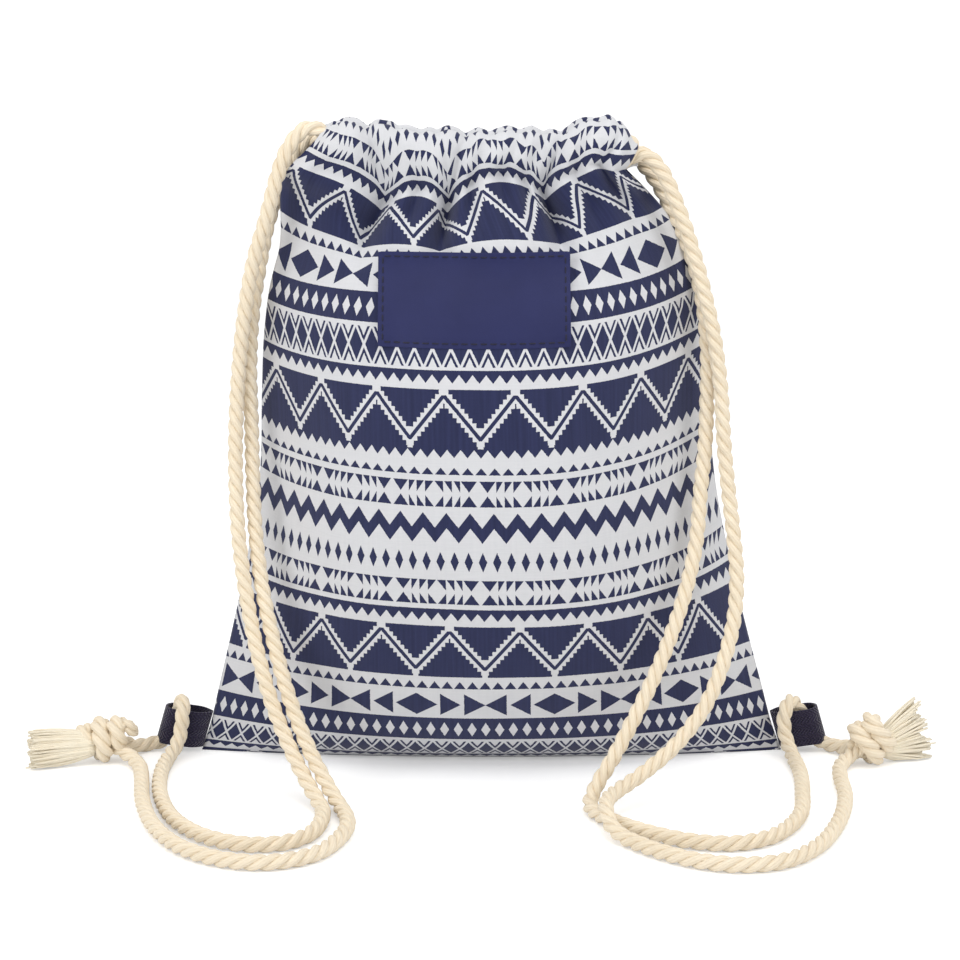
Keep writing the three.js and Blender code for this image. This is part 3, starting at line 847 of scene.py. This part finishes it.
def jacquardFinish():
    # Navy and white jacquard in bands: teeth, zigzags, arrows, diamonds and a lattice
    finish = Finish("jacquardCotton")
    acrossWire, upWire, _ = finish.parts(finish.flatPlace("flat"))
    span = cloth["uvSpan"] / mm
    wobble = (finish.noise(420, 1, finish.flatPlace("flat")) - 0.5) * 0.5
    x = (acrossWire - 0.5) * span + wobble
    up = upWire * span + wobble
    repeat, pitch = weave["repeat"], weave["toothPitch"]
    down = (weave["firstTop"] - up) % weave["longRun"]
    second = down > weave["shortRun"]
    fromTop = down - second * weave["shortRun"]
    side = x + weave["shift"]

    def beat(length, shift=0.0):
        # Distance to the nearest mark of a row of marks
        return abs((side + shift + length / 2) % length - length / 2)

    def teeth(top, height):
        return fromTop - top < beat(pitch, 4) * (2 / pitch) * height

    def triangles(length, top, height, slope):
        below = fromTop - top
        return below.within(0, height) * (beat(length) < below * slope)

    def diamonds(middle, halfWidth, halfHeight):
        return (beat(repeat / 10) / halfWidth + abs(fromTop - middle) / halfHeight) < 1

    # a solid line with teeth, in both runs
    solid = fromTop.within(0, weave["line"]) * teeth(2.6, 5.3)

    # a double zigzag on navy with stepped edges, in both runs
    shape = weave["zigzag"]
    zig = fromTop - shape["top"]
    foot, peak = beat(repeat / 2), beat(repeat / 2, repeat / 4)
    slope = shape["rise"] / (repeat / 4)
    thread = abs(zig - (shape["foot"] - foot * slope)) < shape["thread"]
    stairs = ((foot / shape["step"]).floor() + 0.5) * shape["step"] * slope
    stub = (foot < shape["stub"]) * (zig > shape["stubFoot"])
    stub = stub.max((peak < shape["stub"]) * (zig < shape["stubTop"]))
    white = (abs(zig - (shape["foot"] - stairs)) < shape["border"]).max(stub)
    zigzag = zig.within(0, shape["height"]) * thread.max(1 - white) * (1 - stub)

    # arrows that point at wide diamonds
    shape = weave["arrows"]
    tall = abs(fromTop - shape["middle"])
    reach = beat(repeat, repeat / 2)
    arrows = (reach / shape["diamond"] + tall / shape["halfHeight"]) < 1
    for low, high in shape["spans"]:
        point = tall < (high - reach) * (shape["halfHeight"] / (high - low))
        arrows = arrows.max(reach.within(low, high) * point)

    # white diamonds on navy
    shape = weave["lozenges"]
    strip = (fromTop - shape["middle"]).within(shape["top"], shape["foot"])
    lozenges = strip * (1 - diamonds(shape["middle"], 2.9, 6.3))

    # crossed lines
    shape = weave["lattice"]
    net = fromTop - shape["middle"]
    lean = abs(net) - shape["reach"] * (1 - beat(shape["pitch"]) * (2 / shape["pitch"]))
    thin, broad = shape["line"]
    crossed = (lean < -thin).max(lean.within(thin, broad))
    lattice = net.within(-shape["halfHeight"], shape["halfHeight"]) * crossed

    def facingBand(middle):
        # Triangles that point at each other from both sides of a diamond
        shape = weave["facing"]
        out = abs(fromTop - middle)
        grow = (out - shape["gap"]) * (1 / (shape["halfHeight"] - shape["gap"]))
        near = beat(shape["pitch"], 2)
        place, halfWidth = shape["centre"]
        shapes = abs(near - place) < grow * halfWidth
        for low, high in shape["spans"]:
            shapes = shapes.max((near > low) * (near - low < grow * (high - low)))
        return shapes * out.within(shape["gap"], shape["halfHeight"])

    # one thick zigzag
    shape = weave["thick"]
    swing = beat(repeat / 6) * (shape["rise"] / (repeat / 12)) - shape["rise"] / 2
    thick = abs(fromTop - shape["middle"] + swing) < shape["half"]

    marks = triangles(0.0909 * repeat, 51.2, 5.6, 0.66)
    firstPart = arrows.max(marks).max(lozenges).max(lattice)
    lowTeeth = teeth(48.0, 5.0) * fromTop.within(47.4, 54)
    secondPart = lowTeeth.max(triangles(pitch, 58.9, 4.3, 0.85)).max(thick).max(diamonds(117.0, 2.6, 6.2))
    for middle in weave["facing"]["middles"]:
        secondPart = secondPart.max(facingBand(middle))
    navy = solid.max(zigzag).max(firstPart * (1 - second)).max(secondPart * second)

    weftRun = (up * (fullTurn / weave["weft"])).sine()
    warpRun = (x * (fullTurn / weave["warp"])).sine()
    threads = weftRun * 0.5 + warpRun * 0.5
    streaks = finish.noise(1, 3, finish.combined(x * 0.55, up * 0.016))
    slubs = finish.noise(1, 3, finish.combined(x * 0.06, up * 1.1))
    deep = finish.tinted(streaks * 0.9 + threads * 0.08, tone(28, 33, 63), tone(49, 54, 94))
    paleShare = slubs * 0.5 + streaks * 0.3 + threads * 0.12
    pale = finish.tinted(paleShare, tone(202, 203, 207), tone(226, 226, 228))
    height = threads * 0.5 + slubs * 0.35 + navy * 0.5
    return finish.finished(
        Base_Color=finish.tinted(navy, pale, deep), Roughness=0.9, Specular_IOR_Level=0.2,
        Sheen_Weight=0.12, Sheen_Roughness=0.6, Normal=finish.bump(height, 0.35, 0.0003),
    )


jacquard = jacquardFinish()


def clothPanel(name, node, mirrored):
    bm = bmesh.new()
    bm.from_mesh(panelShape)
    if mirrored:
        bmesh.ops.scale(bm, vec=(1, -1, 1), verts=bm.verts)
        bmesh.ops.reverse_faces(bm, faces=bm.faces)
    for vert in bm.verts:
        vert.co = leaned(vert.co)
    piece = newPiece(name, bm, jacquard)
    wallCloth = piece.modifiers.new("wall", "SOLIDIFY")
    wallCloth.thickness = cloth["thickness"] * mm
    wallCloth.offset = -1
    takePlace(piece, node)
    return piece


frontPanel = clothPanel("front_cloth", "front_panel", False)
clothPanel("back_cloth", "back_panel", True)
print("panels done")

# Leather patch and its stitches
patch = {
    "centreX": -11, "centreZ": 304.6, "width": 117, "height": 58, "rise": 55.4, "thickness": 1.3, "seat": 0.5,
    "cellsAcross": 58, "cellsUp": 28, "corner": 1.2, "rounding": 0.35, "inset": 3.0, "dent": 0.28,
    "probesAcross": 12, "probesUp": 8, "smoothings": 3, "mostGap": 0.4,
    "stitchPitch": 5.8, "stitchLength": 3.9, "stitchRadius": 0.5, "stitchSink": 0.55, "stitchArch": 0.62,
}
surface = BVHTree.FromPolygons(
    [vert.co.copy() for vert in frontPanel.data.vertices],
    [tuple(face.vertices) for face in frontPanel.data.polygons],
)


def frontAt(x, z):
    hit = surface.ray_cast(Vector((x * mm, -1, z * mm)), Vector((0, 1, 0)))[0]
    return hit.y / mm


def probedDepths():
    # Depth of the cloth behind the patch, smoothed as the leather bridges its small folds
    columns, lines = patch["probesAcross"], patch["probesUp"]
    places = [patch["centreX"] + patch["width"] * (i / columns - 0.5) for i in range(columns + 1)]
    heights = [patch["centreZ"] + patch["rise"] * (j / lines - 0.5) for j in range(lines + 1)]
    cells = [[frontAt(x, z) for x in places] for z in heights]
    for _ in range(patch["smoothings"]):
        before = [list(line) for line in cells]
        for j in range(lines + 1):
            for i in range(columns + 1):
                near = [depth for line in before[max(j - 1, 0):j + 2] for depth in line[max(i - 1, 0):i + 2]]
                cells[j][i] = min(sum(near) / len(near), before[j][i] + patch["mostGap"])
    return cells


depthCells = probedDepths()


def patchDepth(s, t):
    # Smooth depth of the patch, with s and t from -1 to 1
    a = (s + 1) / 2 * patch["probesAcross"]
    b = (t + 1) / 2 * patch["probesUp"]
    i, j = min(int(a), patch["probesAcross"] - 1), min(int(b), patch["probesUp"] - 1)
    share = smooth(0, 1, a - i) * 0.3 + (a - i) * 0.7
    low = mixed(depthCells[j][i], depthCells[j][i + 1], share)
    high = mixed(depthCells[j + 1][i], depthCells[j + 1][i + 1], share)
    return mixed(low, high, b - j)


def onPatch(px, pz, lift):
    # A point of the patch, from its place on the flat leather
    s, t = px / (patch["width"] / 2), pz / (patch["height"] / 2)
    x = patch["centreX"] + px
    z = patch["centreZ"] + pz * patch["rise"] / patch["height"]
    return Vector((x, patchDepth(s, t) - patch["seat"] - lift, z)) * mm


def leatherFinish():
    finish = Finish("blueLeather")
    here = finish.objectPlace()
    grain = finish.node("ShaderNodeTexVoronoi", {"feature": "F1"}, {"Vector": here, "Scale": 1500.0})
    pores = finish.noise(3000, 2, here)
    clouds = finish.noise(26, 3, here)
    specks = finish.noise(700, 2, here) > 0.74
    share = clouds * 0.8 + pores * 0.25 + specks * 0.25
    height = finish.out(grain, "Distance") * 0.7 + pores * 0.4
    return finish.finished(
        Base_Color=finish.tinted(share, tone(24, 28, 70), tone(38, 43, 92)), Roughness=0.52 + pores * 0.14,
        Specular_IOR_Level=0.3, Normal=finish.bump(height, 0.3, 0.0003),
    )


def patchPiece():
    bm = bmesh.new()
    halfWidth, halfHeight = patch["width"] / 2, patch["height"] / 2
    corner = patch["corner"]
    for vert in numberedGrid(bm, patch["cellsAcross"], patch["cellsUp"]):
        px, pz = vert.co.x * patch["width"], vert.co.y * patch["height"]
        overX = max(abs(px) - (halfWidth - corner), 0)
        overZ = max(abs(pz) - (halfHeight - corner), 0)
        if overX > 0 and overZ > 0:
            shrink = corner / max(math.hypot(overX, overZ), corner)
            px = math.copysign(halfWidth - corner + overX * shrink, px)
            pz = math.copysign(halfHeight - corner + overZ * shrink, pz)
        fromStitches = min(halfWidth - abs(px), halfHeight - abs(pz)) - patch["inset"]
        dent = patch["dent"] * math.exp(-((fromStitches / 0.9) ** 2))
        vert.co = onPatch(px, pz, patch["thickness"] - dent)
    piece = newPiece("leather_patch", bm, leatherFinish())
    thickened(piece, patch["thickness"], -1, patch["rounding"], 3, 50)
    takePlace(piece, "patch")


def threadFinish():
    finish = Finish("darkThread")
    here = finish.objectPlace()
    twist = finish.noise(2600, 2, here)
    return finish.finished(
        Base_Color=finish.tinted(twist, tone(12, 13, 36), tone(24, 25, 56)), Roughness=0.75,
        Sheen_Weight=0.05, Normal=finish.bump(twist, 0.5, 0.0002),
    )


def stitchPiece():
    bm = bmesh.new()
    place = bm.loops.layers.uv.new("flat")
    halfWidth = patch["width"] / 2 - patch["inset"]
    halfHeight = patch["height"] / 2 - patch["inset"]
    corners = [(-1, -1), (1, -1), (1, 1), (-1, 1)]
    for k, (cx, cz) in enumerate(corners):
        nx, nz = corners[(k + 1) % 4]
        length = 2 * (halfWidth if k % 2 == 0 else halfHeight)
        count = round(length / patch["stitchPitch"])
        for i in range(count):
            line = []
            for n in range(7):
                share = (i + 0.5 + (n / 6 - 0.5) * patch["stitchLength"] / patch["stitchPitch"]) / count
                px = mixed(cx, nx, share) * halfWidth
                pz = mixed(cz, nz, share) * halfHeight
                arch = patch["stitchArch"] * math.sin(math.pi * n / 6) ** 0.6
                line.append(onPatch(px, pz, patch["thickness"] - patch["stitchSink"] + arch))
            addTube(bm, line, patch["stitchRadius"] * mm, 6, place)
    piece = newPiece("patch_stitches", bm, threadFinish())
    takePlace(piece, "patch_stitching")


patchPiece()
stitchPiece()
print("patch done")

# Webbing tabs
tab = {
    "width": 24.5, "thickness": 1.4, "reach": 31, "halfDepth": 8, "rise": 2.5, "cornerX": 189, "hipX": 176,
    "seamRun": 44.4, "gap": -0.4, "droop": 0.14, "rootLength": 10, "rootGap": 0.2, "rounding": 0.3,
    "rootSteps": 12, "foldSteps": 24, "cellsAround": 96, "cellsUp": 30,
}
tabTilt = math.atan2(tab["cornerX"] - tab["hipX"], tab["seamRun"])


def tabOutline():
    # Middle line of the folded band, from the seam out, round the fold and back
    root = tab["thickness"] / 2
    half = tab["halfDepth"] - root
    end = tab["reach"] - root
    start = tab["thickness"] + tab["rootGap"] - 0.8 * root
    line = []
    for k in range(tab["rootSteps"] + 1):
        t = k / tab["rootSteps"]
        line.append(Vector((root + tab["rootLength"] * t, -mixed(mixed(start, half, t), half, t), 0)))
    back = [Vector((spot.x, -spot.y, 0)) for spot in reversed(line)]
    for k in range(tab["foldSteps"] + 1):
        angle = -math.pi / 2 + math.pi * k / tab["foldSteps"]
        line.append(Vector((end - half + half * math.cos(angle), half * math.sin(angle), 0)))
    line += back
    return evenSteps(line, lineLength(line) / tab["cellsAround"])


def webbingFinish():
    finish = Finish("cottonWebbing")
    along, upTab, _ = finish.parts(finish.flatPlace("flat"))
    ribs = (along * (fullTurn / 0.0016)).sine()
    cross = (upTab * (fullTurn / 0.0011)).sine()
    chevron = ((along + abs(upTab % 0.008 - 0.004)) * (fullTurn / 0.0023)).sine()
    fuzz = finish.noise(1400, 2, finish.objectPlace())
    share = chevron * 0.25 + cross * 0.15 + fuzz * 0.8
    height = chevron * 0.7 + cross * 0.4 + ribs * 0.2 + fuzz * 0.3
    return finish.finished(
        Base_Color=finish.tinted(share, tone(24, 19, 42), tone(52, 46, 76)), Roughness=0.9,
        Sheen_Weight=0.3, Specular_IOR_Level=0.2, Normal=finish.bump(height, 0.7, 0.0005),
    )


webbing = webbingFinish()


def tabPiece(side, node):
    line = tabOutline()
    bm = bmesh.new()
    place = bm.loops.layers.uv.new("flat")
    around, tall = len(line) - 1, tab["cellsUp"]
    spots = numberedGrid(bm, around, tall)
    step = lineLength(line) / around * mm
    for face in bm.faces:
        for loop in face.loops:
            i, k = spots[loop.vert]
            loop[place].uv = (i * step, k / tall * tab["width"] * mm)
    for vert, (i, k) in spots.items():
        rise = tab["width"] * k / tall
        spot = line[i]
        out = spot.x - rise * math.sin(tabTilt)
        up = spot.x * tab["droop"] + rise * math.cos(tabTilt)
        x = tab["cornerX"] - math.tan(tabTilt) * tab["rise"] + tab["gap"] + out
        vert.co = Vector((x * side, spot.y * side, up + tab["rise"])) * mm
    piece = newPiece(node + "_webbing", bm, webbing)
    thickened(piece, tab["thickness"], 0, tab["rounding"], 2, 60)
    takePlace(piece, node)


tabPiece(-1, "left_tab")
tabPiece(1, "right_tab")
print("tabs done")

# Floor, backdrop and light
studio = {"floor": 4.0, "wallAt": 1.9, "wallHeight": 2.6, "bend": 0.5, "world": 0.62}


def studioFinish():
    finish = Finish("paperSweep")
    mottle = finish.noise(3, 2, finish.objectPlace())
    light = finish.node("ShaderNodeLightPath")
    seen = finish.out(light, "Is Camera Ray").max(finish.out(light, "Is Glossy Ray"))
    glow = finish.tinted(seen, (0, 0, 0, 1), (0.33, 0.33, 0.33, 1))
    return finish.finished(
        Base_Color=finish.tinted(mottle, tone(244, 244, 244), tone(250, 250, 250)), Roughness=0.95,
        Specular_IOR_Level=0.0, Emission_Color=glow, Emission_Strength=1.0,
    )


def studioSweep():
    bm = bmesh.new()
    bmesh.ops.create_grid(bm, x_segments=1, y_segments=1, size=studio["floor"] / 2)
    bmesh.ops.translate(bm, vec=(0, studio["wallAt"] - studio["floor"] / 2, 0), verts=bm.verts)
    far = [edge for edge in bm.edges if all(vert.co.y > studio["wallAt"] - 0.01 for vert in edge.verts)]
    for k in range(1, 13):
        angle = math.pi / 2 * k / 12
        made = bmesh.ops.extrude_edge_only(bm, edges=far)["geom"]
        verts = [item for item in made if isinstance(item, bmesh.types.BMVert)]
        far = [item for item in made if isinstance(item, bmesh.types.BMEdge)]
        for vert in verts:
            vert.co.y = studio["wallAt"] + studio["bend"] * math.sin(angle)
            vert.co.z = studio["bend"] * (1 - math.cos(angle))
    made = bmesh.ops.extrude_edge_only(bm, edges=far)["geom"]
    verts = [item for item in made if isinstance(item, bmesh.types.BMVert)]
    bmesh.ops.translate(bm, vec=(0, 0, studio["wallHeight"]), verts=verts)
    sweep = newPiece("paper_sweep", bm, studioFinish())


studioSweep()


softboxes = {
    "topSoftbox": {"place": (0.1, -0.5, 1.9), "target": (0, -0.05, 0.15), "size": (1.6, 1.4), "power": 14},
    "leftSoftbox": {"place": (-1.5, -1.3, 1.0), "target": (0, 0, 0.18), "size": (1.0, 1.2), "power": 11},
    "rightSoftbox": {"place": (1.5, -1.1, 0.9), "target": (0, 0, 0.18), "size": (1.0, 1.2), "power": 6},
}
for name, box in softboxes.items():
    lamp = bpy.data.objects.new(name, bpy.data.lights.new(name, "AREA"))
    lamp.data.shape = "RECTANGLE"
    lamp.data.size, lamp.data.size_y = box["size"]
    lamp.data.energy = box["power"]
    lamp.location = box["place"]
    aim = Vector(box["target"]) - Vector(box["place"])
    lamp.rotation_euler = aim.to_track_quat("-Z", "Y").to_euler()
    scene.collection.objects.link(lamp)

# Soft fill from all round, and white where the camera looks past the sweep
world = bpy.data.worlds.new("studio")
scene.world = world
world.use_nodes = True
air = world.node_tree
background = air.nodes["Background"]
path = air.nodes.new("ShaderNodeLightPath")
choice = air.nodes.new("ShaderNodeMix")
choice.data_type = "RGBA"
choice.inputs[6].default_value = (studio["world"],) * 3 + (1,)
choice.inputs[7].default_value = (1, 1, 1, 1)
air.links.new(path.outputs["Is Camera Ray"], choice.inputs[0])
air.links.new(choice.outputs[2], background.inputs["Color"])
scene.view_settings.view_transform = "Standard"
print("studio done")
